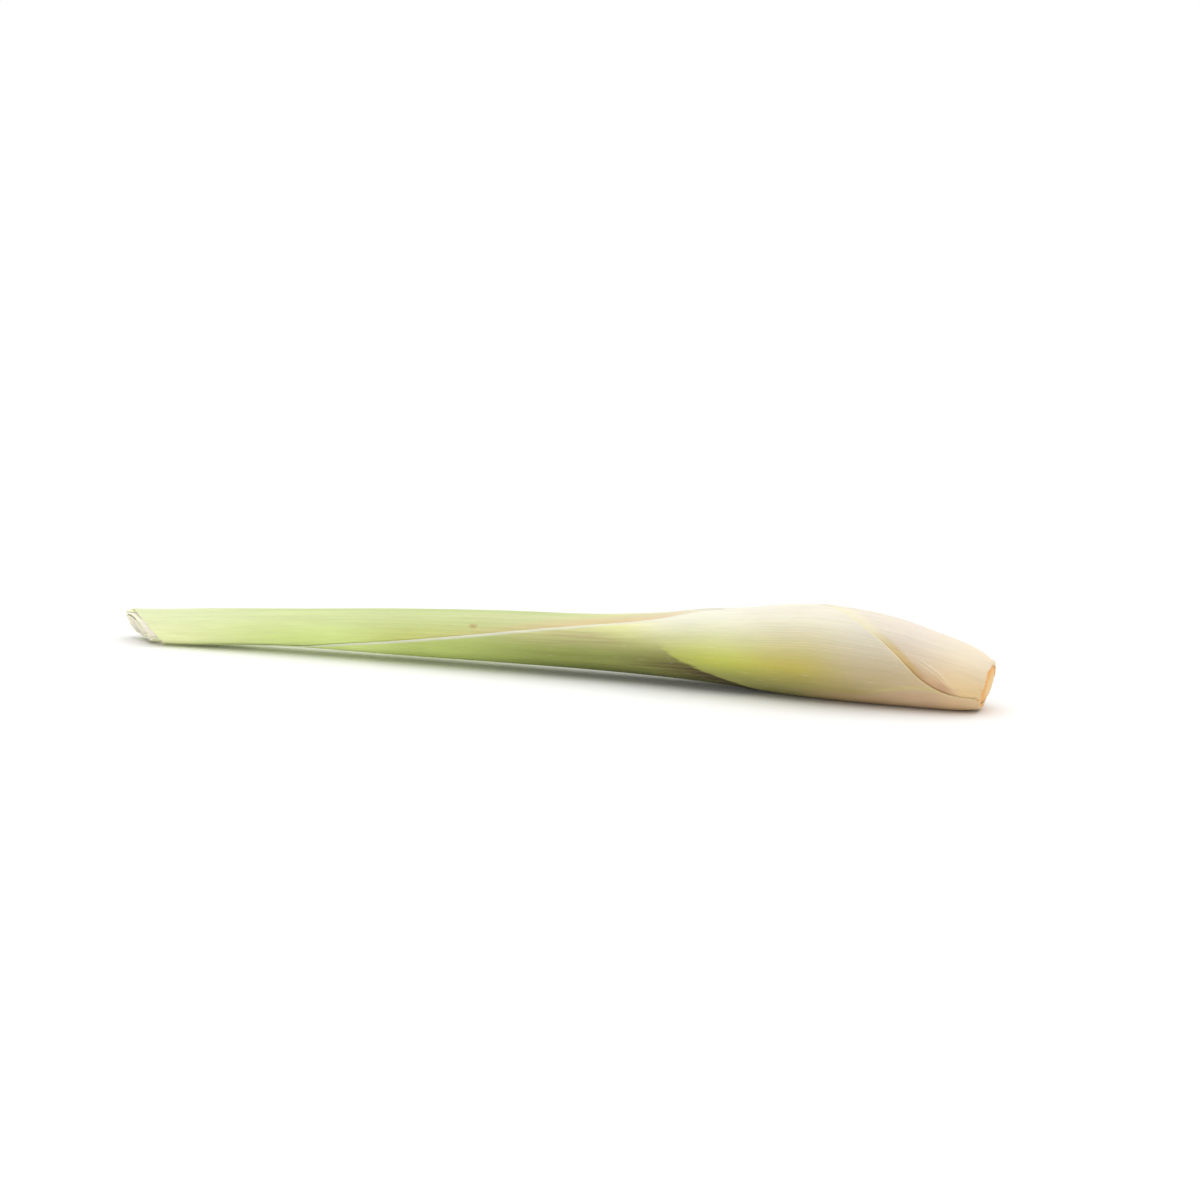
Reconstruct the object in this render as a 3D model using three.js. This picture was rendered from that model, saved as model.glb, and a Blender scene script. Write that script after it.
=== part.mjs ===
/**
 * Lemongrass stalk: one cut stalk lying on its side, as picked and trimmed.
 *
 * A short solid stem fills the bulb. Leaf sheaths grow from it on alternate sides, each rolled round the next,
 * and the youngest leaf is a tight roll in the middle. The two outer sheaths reach the base cut; the inner ones
 * start further up the stem. Towards the leaf end the sheaths open, so each covers only part of the girth.
 *
 * Units are millimetres. +X points to the base cut, +Z is up, and the origin is on the surface that the stalk
 * lies on, under the middle of its bounding box. A place on the stalk is given by
 *   s      distance from the base cut, along the stalk
 *   angle  degrees round the stalk: 0 is the back (+Y), 90 the top, 180 the front (-Y), 270 underneath
 *   depth  distance below the outer surface
 */
import * as THREE from "three";

// Overall size
const LENGTH = 276; // base cut to the furthest leaf tip
const BULB = 25.9; // height of the bulb at its widest
const GAP = 0.34; // free space between two neighbouring pieces
const MARGIN = 0.62; // thickness of a sheath at its free edges

// The girth along the stalk, as [s, value] knots
const height = through([
  [0, 11.2], [1.5, 13.2], [4, 15.6], [9, 18.3], [21, 22.3], [31, 24.5], [44, BULB], [54, 24.9], [67, 22.6], [80, 20.8],
  [95, 18.2], [114, 16.3], [142, 15.4], [176, 13.9], [212, 11.5], [245, 10.6], [LENGTH, 10.3],
]);
const widthPerHeight = through([[0, 1], [60, 1], [130, 1.03], [210, 1.14], [LENGTH, 1.22]]);

// The lie of the stalk: how high its underside is, and how far it bows to the back. Where the underside would dip
// below the surface, the stalk is pressed flat and rests there.
const underside = through([
  [0, 0.9], [3, 0.1], [8, -0.3], [24, -0.45], [48, -0.4], [62, 0.2], [79, 1.1], [110, 1.6], [142, 1.6],
  [176, 1.5], [212, 1.6], [236, 0.9], [252, 0], [264, -0.4], [LENGTH, -0.4],
]);
const bow = through([[0, -1.6], [38, -0.2], [90, 1.3], [145, 1.5], [200, 0.2], [245, -1.8], [LENGTH, -3.2]]);

// The two knife cuts. Each is a slanted plane: the shift along the stalk for each mm to the back, and for each mm up.
const BASE_CUT = { s: 0.9, back: 0.02, up: -0.25, fade: 16 };
const LEAF_CUT = { s: 266.6, back: 1.4, up: 0.75, fade: 60 };

// Leaf sheaths, from the outside in. `from` and `to` are the angles of the two free edges along the stalk.
const fleshiness = through([[0, 0.68], [14, 0.95], [30, 1.15], [60, 1.0], [110, 0.76], [180, 0.66], [LENGTH, 0.64]]);
const SHEATHS = [
  {
    name: "sheath_1", colour: 0xc9d38f, start: BASE_CUT.s, end: LEAF_CUT.s, along: 40, across: 18,
    from: through([
      [0, 206], [9, 202], [15, 188], [23, 156], [35, 120], [43, 102], [60, 92], [79, 110], [95, 125],
      [114, 137], [142, 163], [176, 194], [194, 214], [212, 244], [240, 252], [LENGTH, 252],
    ]),
    to: through([
      [0, 424], [16, 423], [31, 428], [45, 441], [57, 453], [65, 456], [74, 449], [85, 437],
      [98, 427], [114, 419], [142, 411], [176, 402], [212, 393], [LENGTH, 388],
    ]),
  },
  {
    name: "sheath_2", colour: 0xdfe3a8, start: BASE_CUT.s, end: LEAF_CUT.s + 0.3, along: 40, across: 18,
    from: through([[0, -20], [120, -16], [LENGTH, 15]]),
    to: through([[0, 305], [120, 300], [LENGTH, 266]]),
  },
  {
    name: "sheath_3", colour: 0xe6e8bb, start: 14, end: LEAF_CUT.s + 0.8, along: 28, across: 15,
    from: through([[0, 172], [120, 178], [LENGTH, 212]]),
    to: through([[0, 492], [120, 486], [LENGTH, 452]]),
  },
  {
    name: "sheath_4", colour: 0xeeeccb, start: 27, end: LEAF_CUT.s + 1.2, along: 26, across: 15,
    from: through([[0, -15], [120, -10], [LENGTH, 22]]),
    to: through([[0, 305], [120, 300], [LENGTH, 278]]),
  },
];

// The youngest leaf: a roll of more than one turn
const ROLL = { start: 56, end: LEAF_CUT.s + 1.8, from: 205, turn: 480, pitch: 0.94, along: 20, across: 18 };

// How a sheath that goes right round the stalk closes: over these degrees its second edge sinks below its first.
const SINKS = { start: 265, end: 352 };
// Past a free edge, the pieces below rise to fill the room that the sheath leaves, over this many degrees.
const SHOULDER = 50;

// How much closer the cross sections lie near the ends of a piece than in its middle
const CROWDING = 0.1;

// The solid stem in the bulb
const STEM = { end: 52, along: 10, around: 18 };
const stemRadius = through([
  [0, 3.4], [4, 5.0], [9, 5.9], [14, 5.9], [20, 6.4], [27, 6.0], [38, 5.2], [47, 3.8], [STEM.end, 1.6],
]);

/** A smooth curve through [s, value] knots: cubic pieces, with each knot's slope taken from its two neighbours. */
function through(knots) {
  const slopes = knots.map((_, i) => {
    const before = knots[Math.max(i - 1, 0)];
    const after = knots[Math.min(i + 1, knots.length - 1)];
    return (after[1] - before[1]) / (after[0] - before[0]);
  });
  return (s) => {
    const next = knots.findIndex((knot) => knot[0] > s);
    const i = next < 0 ? knots.length - 2 : Math.max(next - 1, 0);
    const span = knots[i + 1][0] - knots[i][0];
    const t = THREE.MathUtils.clamp((s - knots[i][0]) / span, 0, 1);
    const [t2, t3] = [t * t, t * t * t];
    return (
      knots[i][1] * (2 * t3 - 3 * t2 + 1) + slopes[i] * span * (t3 - 2 * t2 + t) +
      knots[i + 1][1] * (3 * t2 - 2 * t3) + slopes[i + 1] * span * (t3 - t2)
    );
  };
}

/** 0 before `start`, 1 after `end`, smooth between them. */
function rise(value, start, end) {
  return THREE.MathUtils.smoothstep(value, start, end);
}

/** The point at a place on the stalk. */
function place(s, angle, depth) {
  const turned = THREE.MathUtils.degToRad(angle);
  const halfHeight = height(s) / 2;
  const halfWidth = halfHeight * widthPerHeight(s);
  const back = (halfWidth - depth) * Math.cos(turned);
  const up = (halfHeight - depth) * Math.sin(turned);
  const baseShift = (BASE_CUT.back * back + BASE_CUT.up * up) * (1 - rise(s, 0, BASE_CUT.fade));
  const leafShift = (LEAF_CUT.back * back + LEAF_CUT.up * up) * rise(s, LEAF_CUT.s - LEAF_CUT.fade, LEAF_CUT.s);
  return new THREE.Vector3(
    LENGTH / 2 - s - baseShift - leafShift,
    bow(s) + back,
    Math.max(underside(s) + halfHeight + up, depth),
  );
}

/** The place along the stalk at a share t of a piece. The cross sections lie closer together near both ends. */
function spaced(start, end, t) {
  return start + (end - start) * (t - CROWDING * Math.sin(2 * Math.PI * t));
}

/**
 * A closed blade: a flat grid of cells, placed once for its outer face and once for its inner face, and joined
 * round its rim. Both faces keep the grid's own triangles, so that a curved blade never cuts through itself.
 */
function bladeGeometry(along, across, placeOn) {
  const grid = new THREE.PlaneGeometry(1, 1, along, across);
  const flat = grid.getAttribute("position");
  const points = [];
  for (const face of [0, 1]) {
    for (let i = 0; i < flat.count; i++) {
      points.push(placeOn(flat.getX(i) + 0.5, flat.getY(i) + 0.5, face));
    }
  }
  const outer = Array.from(grid.index.array);
  const inner = outer.map((vertex) => vertex + flat.count).reverse();
  return new THREE.BufferGeometry().setFromPoints(points).setIndex([...outer, ...inner, ...rim(along, across)]);
}

/** The triangles that join the two faces of a blade, once round the grid's border. */
function rim(along, across) {
  const inside = (along + 1) * (across + 1);
  const at = (column, row) => row * (along + 1) + column;
  const border = [];
  for (let row = 0; row < across; row++) border.push(at(0, row));
  for (let column = 0; column < along; column++) border.push(at(column, across));
  for (let row = across; row > 0; row--) border.push(at(along, row));
  for (let column = along; column > 0; column--) border.push(at(column, 0));
  return border.flatMap((a, i) => {
    const b = border[(i + 1) % border.length];
    return [b, a, a + inside, b, a + inside, b + inside];
  });
}

/** Thickness of a sheath at `turn` degrees from its first edge: fleshy in the middle, thin at both edges. */
function thickness(sheath, s, turn) {
  const across = THREE.MathUtils.clamp(turn / (sheath.to(s) - sheath.from(s)), 0, 1);
  return MARGIN + (fleshiness(s) - MARGIN) * Math.sqrt(Math.sin(Math.PI * across));
}

/** How far the outer face of a sheath has sunk at `turn` degrees, to pass below its own first edge. */
function sunk(sheath, s, turn) {
  const closed = rise(sheath.to(s) - sheath.from(s), 270, 345);
  const below = thickness(sheath, s, Math.max(turn - 360, 0)) + GAP;
  return closed * below * rise(turn, SINKS.start, SINKS.end);
}

/** The depth that a sheath takes up at an angle. Beside its edges the room that it takes fades out. */
function room(sheath, s, angle) {
  const width = sheath.to(s) - sheath.from(s);
  const first = THREE.MathUtils.euclideanModulo(angle - sheath.from(s), 360);
  const laps = [first - 360, first, first + 360].map((turn) => {
    const nearest = THREE.MathUtils.clamp(turn, 0, width);
    const taken = sunk(sheath, s, nearest) + thickness(sheath, s, nearest) + GAP;
    return taken * (1 - rise(Math.abs(turn - nearest), 0, SHOULDER));
  });
  return Math.max(...laps);
}

/** The depth at which the pieces inside the first `count` sheaths start. */
function depthInside(count, s, angle) {
  return SHEATHS.slice(0, count).reduce((depth, sheath) => depth + room(sheath, s, angle), 0);
}

/** One leaf sheath. `order` counts from the outside. */
function sheathGeometry(sheath, order) {
  return bladeGeometry(sheath.along, sheath.across, (t, v, face) => {
    const s = spaced(sheath.start, sheath.end, t);
    const turn = (sheath.to(s) - sheath.from(s)) * v;
    const angle = sheath.from(s) + turn;
    const outside = depthInside(order, s, angle) + sunk(sheath, s, turn);
    return place(s, angle, outside + face * thickness(sheath, s, turn));
  });
}

/** The youngest leaf, rolled up. */
function rollGeometry() {
  return bladeGeometry(ROLL.along, ROLL.across, (t, v, face) => {
    const s = spaced(ROLL.start, ROLL.end, t);
    const angle = ROLL.from + ROLL.turn * v;
    const wound = (ROLL.pitch * ROLL.turn * v) / 360;
    return place(s, angle, depthInside(SHEATHS.length, s, angle) + wound + face * MARGIN);
  });
}

/** The solid stem: a can with its wall moved to the stem's radius and its bottom to the base cut. */
function stemGeometry() {
  const can = new THREE.CylinderGeometry(1, 1, 1, STEM.around, STEM.along);
  can.deleteAttribute("normal");
  can.deleteAttribute("uv");
  const positions = can.getAttribute("position");
  for (let i = 0; i < positions.count; i++) {
    const [x, y, z] = [positions.getX(i), positions.getY(i), positions.getZ(i)];
    const s = BASE_CUT.s + (STEM.end - BASE_CUT.s) * (0.5 - y);
    const out = Math.hypot(x, z) * stemRadius(s);
    const angle = THREE.MathUtils.radToDeg(Math.atan2(-z, x));
    const point = place(s, angle, height(s) / 2 - out);
    positions.setXYZ(i, point.x, point.y, point.z);
  }
  return can;
}

/** A finished piece of the plant. */
function piece(name, geometry, colour, roughness) {
  const material = new THREE.MeshStandardMaterial({ color: colour, roughness, metalness: 0 });
  const mesh = new THREE.Mesh(geometry, material);
  mesh.name = name;
  return mesh;
}

const stalk = new THREE.Group();
stalk.add(piece("stem_core", stemGeometry(), 0xe3d3b0, 0.8));
SHEATHS.forEach((sheath, order) => stalk.add(piece(sheath.name, sheathGeometry(sheath, order), sheath.colour, 0.5)));
stalk.add(piece("heart_leaf", rollGeometry(), 0xf3f0d2, 0.5));

export default stalk;
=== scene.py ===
# %% [markdown]
# # A cut stalk of lemongrass
#
# A lemongrass stalk is a grass shoot: a short solid stem hidden in a fleshy bulb, and leaf sheaths that are
# rolled one round the next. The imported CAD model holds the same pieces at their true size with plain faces.
# This notebook remakes each of them as a finer mesh in the same place, gives them their skins, and lights
# them.

import math
import random

import bmesh
import bpy
import numpy as np
from mathutils import Matrix, Quaternion, Vector


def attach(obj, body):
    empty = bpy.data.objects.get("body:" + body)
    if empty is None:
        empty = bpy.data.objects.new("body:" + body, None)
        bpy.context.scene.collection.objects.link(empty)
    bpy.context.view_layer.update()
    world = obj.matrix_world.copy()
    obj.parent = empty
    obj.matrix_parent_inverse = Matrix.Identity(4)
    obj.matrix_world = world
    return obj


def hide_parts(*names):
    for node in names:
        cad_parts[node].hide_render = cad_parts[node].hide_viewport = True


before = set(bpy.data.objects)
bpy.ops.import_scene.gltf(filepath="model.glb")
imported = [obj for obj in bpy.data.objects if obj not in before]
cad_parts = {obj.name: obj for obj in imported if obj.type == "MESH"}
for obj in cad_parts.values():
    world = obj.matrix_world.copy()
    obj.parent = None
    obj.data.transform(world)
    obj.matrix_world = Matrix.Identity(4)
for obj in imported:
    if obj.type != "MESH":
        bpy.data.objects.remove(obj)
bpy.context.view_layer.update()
print("CAD nodes:", ", ".join(sorted(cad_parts)))

# %% [markdown]
# ## Measuring the stalk
#
# Everything on the stalk is placed by three numbers, as a botanist would note them: the distance `s` from
# the base cut in millimetres, the angle round the stalk in degrees (0 is the back, 90 the top, 180 the
# front, 270 underneath) and the depth below the outer surface. The profile could be sculpted by eye, but
# then the pieces would not nest. A few measured knots with a smooth curve through them keep every layer on
# the same body as in the CAD model.

# %% Curves through knots
MM = 0.001  # metres in a millimetre


def through(knots):
    """A smooth curve through (s, value) knots. Each knot's slope is taken from its two neighbours."""
    places, values = np.array(knots, float).T
    last = len(places) - 1
    before = np.maximum(np.arange(last + 1) - 1, 0)
    after = np.minimum(np.arange(last + 1) + 1, last)
    slopes = (values[after] - values[before]) / (places[after] - places[before])

    def curve(s):
        i = np.clip(np.searchsorted(places, s, side="right") - 1, 0, last - 1)
        span = places[i + 1] - places[i]
        t = np.clip((s - places[i]) / span, 0, 1)
        start = values[i] * (2 * t**3 - 3 * t**2 + 1) + slopes[i] * span * (t**3 - 2 * t**2 + t)
        return start + values[i + 1] * (3 * t**2 - 2 * t**3) + slopes[i + 1] * span * (t**3 - t**2)

    return curve


def rise(value, start, end):
    """0 before start, 1 after end, smooth between them."""
    t = np.clip((value - start) / (end - start), 0, 1)
    return t * t * (3 - 2 * t)


def hump(value, middle, width):
    """1 at the middle, fading to 0 on both sides of it."""
    return np.exp(-(((value - middle) / width) ** 2))


# %% The girth and the lie of the stalk
LENGTH = 276
BULB = 25.9

height = through([
    (0, 11.2), (1.5, 13.2), (4, 15.6), (9, 18.3), (21, 22.3), (31, 24.5), (44, BULB), (54, 24.9),
    (67, 22.6), (80, 20.8), (95, 18.2), (114, 16.3), (142, 15.4), (176, 13.9), (212, 11.5), (245, 10.6),
    (LENGTH, 10.3),
])
width_per_height = through([(0, 1), (60, 1), (130, 1.03), (210, 1.14), (LENGTH, 1.22)])
underside = through([
    (0, 0.9), (3, 0.1), (8, -0.3), (24, -0.45), (48, -0.4), (62, 0.2), (79, 1.1), (110, 1.6), (142, 1.6),
    (176, 1.5), (212, 1.6), (236, 0.9), (252, 0), (264, -0.4), (LENGTH, -0.4),
])
bow = through([(0, -1.6), (38, -0.2), (90, 1.3), (145, 1.5), (200, 0.2), (245, -1.8), (LENGTH, -3.2)])

# each cut's place on the axis, its slant in mm per mm towards the back and the top, and how soon that fades
BASE_CUT = {"s": 0.9, "back": 0.02, "up": -0.25, "fade": 16}
LEAF_CUT = {"s": 266.6, "back": 1.4, "up": 0.75, "fade": 60}


def place(s, angle, depth, proud=0.0):
    """The point at a place on the stalk, in metres, `proud` mm above that depth. The floor stops it."""
    turned = np.radians(angle)
    half_height = height(s) / 2
    half_width = half_height * width_per_height(s)
    back = (half_width - depth + proud) * np.cos(turned)
    up = (half_height - depth + proud) * np.sin(turned)
    base_shift = (BASE_CUT["back"] * back + BASE_CUT["up"] * up) * (1 - rise(s, 0, BASE_CUT["fade"]))
    leaf_start = LEAF_CUT["s"] - LEAF_CUT["fade"]
    leaf_shift = (LEAF_CUT["back"] * back + LEAF_CUT["up"] * up) * rise(s, leaf_start, LEAF_CUT["s"])
    x = LENGTH / 2 - s - base_shift - leaf_shift
    z = np.maximum(underside(s) + half_height + up, depth)
    return np.stack([x, bow(s) + back, z], axis=-1) * MM


print("Bulb", BULB, "mm high; the leaf end", float(height(LENGTH)), "mm")

# %% [markdown]
# ## How the sheaths lie over each other
#
# Each sheath is a strip whose two free edges wind along the stalk. Where it covers another, the lower one
# lies deeper, and beside its edge the lower one rises again. Here the sheaths get their true thin edges and
# lie close together, which the CAD solids can't do. A shell with a Solidify modifier would have the same
# thickness everywhere, so the thickness is worked out at each point instead.

# %% The sheaths and their free edges
GAP = 0.1  # mm left between neighbours
EDGE = 0.26  # mm of thickness at a free edge
SHOULDER = 50  # degrees beside an edge over which the layer below rises again
GOES_ROUND = (270, 345)  # degrees of width over which a sheath comes to pass below its own first edge
SINKS = (265, 352)  # degrees from its first edge over which it sinks for that

fleshiness = through([
    (0, 0.68), (14, 0.95), (30, 1.15), (60, 1.0), (110, 0.76), (180, 0.66), (LENGTH, 0.64),
])
SHEATHS = [
    {
        "name": "sheath_1", "along": 400, "across": 112,
        "start": BASE_CUT["s"], "end": LEAF_CUT["s"],
        "first": through([
            (0, 206), (9, 202), (15, 188), (23, 156), (35, 120), (43, 102), (60, 92), (79, 110), (95, 125),
            (114, 137), (142, 163), (176, 194), (194, 214), (212, 244), (240, 252), (LENGTH, 252),
        ]),
        "second": through([
            (0, 424), (16, 423), (31, 428), (45, 441), (57, 453), (65, 456), (74, 449), (85, 437), (98, 427),
            (114, 419), (142, 411), (176, 402), (212, 393), (LENGTH, 388),
        ]),
    },
    {
        "name": "sheath_2", "along": 400, "across": 112,
        "start": BASE_CUT["s"], "end": LEAF_CUT["s"] + 0.3,
        "first": through([(0, -20), (120, -16), (LENGTH, 15)]),
        "second": through([(0, 305), (120, 300), (LENGTH, 266)]),
    },
    {
        "name": "sheath_3", "along": 150, "across": 84,
        "start": 14, "end": LEAF_CUT["s"] + 0.8,
        "first": through([(0, 172), (120, 178), (LENGTH, 212)]),
        "second": through([(0, 492), (120, 486), (LENGTH, 452)]),
    },
    {
        "name": "sheath_4", "along": 150, "across": 84,
        "start": 27, "end": LEAF_CUT["s"] + 1.2,
        "first": through([(0, -15), (120, -10), (LENGTH, 22)]),
        "second": through([(0, 305), (120, 300), (LENGTH, 278)]),
    },
]


def width_of(sheath, s):
    """Degrees round the stalk from the first edge to the second."""
    return sheath["second"](s) - sheath["first"](s)


# %% How thick the sheaths are and how deep they lie
def thickness(sheath, s, turn):
    """Fleshy in the middle, thin at both free edges."""
    across = np.clip(turn / width_of(sheath, s), 0, 1)
    return EDGE + (fleshiness(s) - EDGE) * np.sqrt(np.clip(np.sin(np.pi * across), 0, 1))


def sunk(sheath, s, turn):
    """How far a sheath that goes right round has sunk, to pass below its own first edge."""
    closed = rise(width_of(sheath, s), *GOES_ROUND)
    return closed * (thickness(sheath, s, np.maximum(turn - 360, 0)) + GAP) * rise(turn, *SINKS)


def room(sheath, s, angle):
    """The depth that a sheath takes up at an angle. Beside its edges that room fades out."""
    width = width_of(sheath, s)
    first = np.mod(angle - sheath["first"](s), 360)
    laps = []
    for turn in (first - 360, first, first + 360):
        nearest = np.clip(turn, 0, width)
        taken = sunk(sheath, s, nearest) + thickness(sheath, s, nearest) + GAP
        laps.append(taken * (1 - rise(np.abs(turn - nearest), 0, SHOULDER)))
    return np.max(laps, axis=0)


def depth_inside(count, s, angle):
    """The depth at which the pieces inside the first `count` sheaths start."""
    return sum((room(sheath, s, angle) for sheath in SHEATHS[:count]), np.zeros_like(s))


at_bulb = [round(float(depth_inside(count, np.array(44.0), 90)), 2) for count in range(len(SHEATHS) + 1)]
print("Depths on top of the bulb, from the outside in, in mm:", at_bulb)

# %% [markdown]
# ## Small relief
#
# A sheath isn't smooth. Veins run along it as low ribs, drying has left it a little uneven, its edge lifts
# off the layer below, and a thick vein stands out beside the overlap near the base. Only the finest lines
# are left to the material; all the rest is added to the mesh as height. The same height is used for every
# layer, so that none of them pokes through the one above.

# %% Ribs and unevenness
RIBS = 34
RIB_HEIGHT = {"bulb": 0.01, "more_on_leaf": 0.034}
UNEVEN = [(0.10, 2, 61, 0.4), (0.08, 3, -43, 2.1), (0.05, 5, 27, 4.0), (0.035, 9, -19, 1.2)]
SETTLED = 0.12  # mm that all of it lies lower, so that the highest ribs reach the measured height


def relief(s, angle):
    """Height of ribs and unevenness, in millimetres. Whole numbers of waves go round, so it closes."""
    turned = np.radians(angle)
    rib_height = RIB_HEIGHT["bulb"] + RIB_HEIGHT["more_on_leaf"] * rise(s, 60, 130)
    wander = 0.5 * np.sin(s / 71) + 0.2 * np.sin(s / 29 + 1)
    ribs = rib_height * np.cos(RIBS * turned + wander) * (0.7 + 0.3 * np.cos(3 * turned + s / 31))
    lumps = sum(size * np.sin(waves * turned + s / run + phase) for size, waves, run, phase in UNEVEN)
    return ribs + lumps * (0.35 + 0.65 * rise(s, 0, 30)) - SETTLED


# %% Distances round the stalk
vein_line = through([(0, 214), (6.5, 194), (9.5, 178.5), (12, 167), (15.7, 157), (20, 148), (LENGTH, 148)])


def girth_radius(s):
    """The radius in the middle between the half height and the half width."""
    return height(s) * (1 + width_per_height(s)) / 4


def past_first_edge(s, angle):
    """Millimetres round the stalk from the outer sheath's first edge; negative where it is bare."""
    return np.radians(angle - SHEATHS[0]["first"](s)) * girth_radius(s)


def past_vein(s, angle):
    """Millimetres round the stalk from the second sheath's thick vein."""
    return np.radians(angle - vein_line(s)) * girth_radius(s)


# %% The lifted edge
EDGE_LIFTS = {"everywhere": 0.05, "here_and_there": [(0.17, 15, 7), (0.06, 128, 40), (-0.1, 60, 20)]}
LIFTED_WIDTH = 3.2


def edge_lift(s, turn):
    """The outer sheath's first edge stands off most near the base and lies tight on the bulb."""
    from_edge = np.radians(turn) * girth_radius(s)
    places = EDGE_LIFTS["here_and_there"]
    lift = sum((size * hump(s, middle, width) for size, middle, width in places), EDGE_LIFTS["everywhere"])
    return lift * (1 - rise(from_edge, 0, LIFTED_WIDTH))


print("Edge lift near the base:", round(float(edge_lift(15.0, 0)), 2), "mm")

# %% The groove and the thick vein
FOLD = {"past": -1.1, "width": 0.8, "deep": 0.18, "starts": (6, 12), "ends": (18, 26)}
VEIN = {"high": 0.26, "width": 0.45, "starts": (5.5, 8.5), "ends": (13, 19)}
SECOND_VEIN = {"past": 1.1, "high": 0.08, "width": 0.4}


def fold(s, angle):
    """The groove and the thick vein on the second sheath, beside the outer sheath's first edge."""
    groove = -FOLD["deep"] * hump(past_first_edge(s, angle), FOLD["past"], FOLD["width"])
    groove_there = rise(s, *FOLD["starts"]) * (1 - rise(s, *FOLD["ends"]))
    beside = past_vein(s, angle)
    vein = VEIN["high"] * hump(beside, 0, VEIN["width"])
    vein = vein + SECOND_VEIN["high"] * hump(beside, SECOND_VEIN["past"], SECOND_VEIN["width"])
    vein_there = rise(s, *VEIN["starts"]) * (1 - rise(s, *VEIN["ends"]))
    return groove_there * groove + vein_there * vein


# %% [markdown]
# ## A rolled sheet
#
# Every sheath starts as a flat unit grid. Solidify closes it into a slab, cuts across the rim give its edge
# a round section, and then each point is moved to its place on the stalk. The grid's own x runs along the
# stalk, y across the sheath and z through its thickness, so one function can place all of them. Each point
# keeps where on the stalk it lies as attributes, which the skins read. A UV map keeps the same place
# unrolled, for a maker who wants to paint the piece.

# %% A flat slab
RIM_CUTS = 2
TINY = 1e-6
CUT_SLOT = 1  # the material slot of the faces that the knife made


def flat_slab(along, across):
    """A closed slab on a unit grid: x and y from 0 to 1, z 0 on the outer face and -1 on the inner."""
    slab = bmesh.new()
    bmesh.ops.create_grid(slab, x_segments=along, y_segments=across, size=0.5)
    bmesh.ops.translate(slab, verts=slab.verts, vec=(0.5, 0.5, 0))
    bmesh.ops.solidify(slab, geom=slab.faces[:], thickness=1)
    lowest = min(vert.co.z for vert in slab.verts)
    bmesh.ops.translate(slab, verts=slab.verts, vec=(0, 0, -1 - lowest))
    through_rim = [edge for edge in slab.edges if abs(edge.verts[0].co.z - edge.verts[1].co.z) > 0.5]
    bmesh.ops.subdivide_edges(slab, edges=through_rim, cuts=RIM_CUTS, use_grid_fill=True)
    for face in slab.faces:
        face.smooth = True
        if abs(face.normal.x) > 0.5:
            face.material_index = CUT_SLOT
            for edge in face.edges:
                edge.smooth = not all(abs(vert.co.z * (vert.co.z + 1)) < TINY for vert in edge.verts)
    return slab


# %% What a mesh keeps about its points
def keep(mesh, name, values):
    """Stores one number for each point of a mesh."""
    attribute = mesh.attributes.new(name, "FLOAT", "POINT")
    attribute.data.foreach_set("value", np.asarray(values, np.float32))


def add_place_map(mesh, s, angle):
    """A UV map that unrolls the piece: u along the stalk, v round it."""
    layer = mesh.uv_layers.new(name="place")
    corners = np.zeros(len(mesh.loops), np.int32)
    mesh.loops.foreach_get("vertex_index", corners)
    uv = np.stack([s[corners] / LENGTH, angle[corners] / 360], axis=-1)
    layer.data.foreach_set("uv", uv.astype(np.float32).ravel())


# %% From a bmesh to a placed piece
CROWDING = 0.1


def spaced(start, end, t):
    """The place along the stalk at a share t of a piece. Sections lie closer together near both ends."""
    return start + (end - start) * (t - CROWDING * np.sin(2 * np.pi * t))


def finished_piece(name, work, place_points=None):
    """Makes an object of a bmesh. place_points(x, y, z) gives its new points and what to keep with them."""
    mesh = bpy.data.meshes.new(name)
    work.to_mesh(mesh)
    work.free()
    if place_points:
        flat = np.zeros(len(mesh.vertices) * 3, np.float32)
        mesh.vertices.foreach_get("co", flat)
        points, kept = place_points(*flat.reshape(-1, 3).astype(float).T)
        mesh.vertices.foreach_set("co", points.astype(np.float32).ravel())
        for label, values in kept.items():
            keep(mesh, label, values)
        add_place_map(mesh, kept["along"], kept["round"])
        mesh.update()
    piece = bpy.data.objects.new(name, mesh)
    bpy.context.scene.collection.objects.link(piece)
    print(name, "has", sum(len(face.vertices) - 2 for face in mesh.polygons), "triangles")
    return piece


# %% [markdown]
# ## The four leaf sheaths
#
# The two outer sheaths reach the base cut, and the inner ones grow from higher up the stem, so they show
# only at the leaf end. The free edges are rounded over by pushing the middle of the rim out. Both ends are
# cut by a knife, and stay flat with a slightly ragged line. At the leaf end the two outer sheaths have
# dried and drawn back behind the inner ones.

# %% The knife lines at both ends
KNIFE_WAVES = [(0.5, 3), (0.3, 7), (0.25, 13), (0.2, 29), (0.14, 47)]
RAGGED = {"base": 0.22, "leaf": 0.24, "fade": 5}
DRAWN_BACK = {"all_round": 0.9, "more": [(2.6, 236, 44), (1.7, 78, 34)], "fade": 16}
NOTCH = {"depth": 0.7, "width": 5}
OUTER_SHEATHS = 2


def ragged(angle, size, phase):
    """A knife line through fibres isn't quite straight."""
    turned = np.radians(angle)
    return size * sum(share * np.sin(count * turned + phase * (count + 1)) for share, count in KNIFE_WAVES)


def drawn_back(angle):
    """Millimetres by which an outer sheath ends shorter at the leaf end, where it has dried."""
    more = [size * hump(np.mod(angle, 360), middle, width) for size, middle, width in DRAWN_BACK["more"]]
    return sum(more) + DRAWN_BACK["all_round"]


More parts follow.
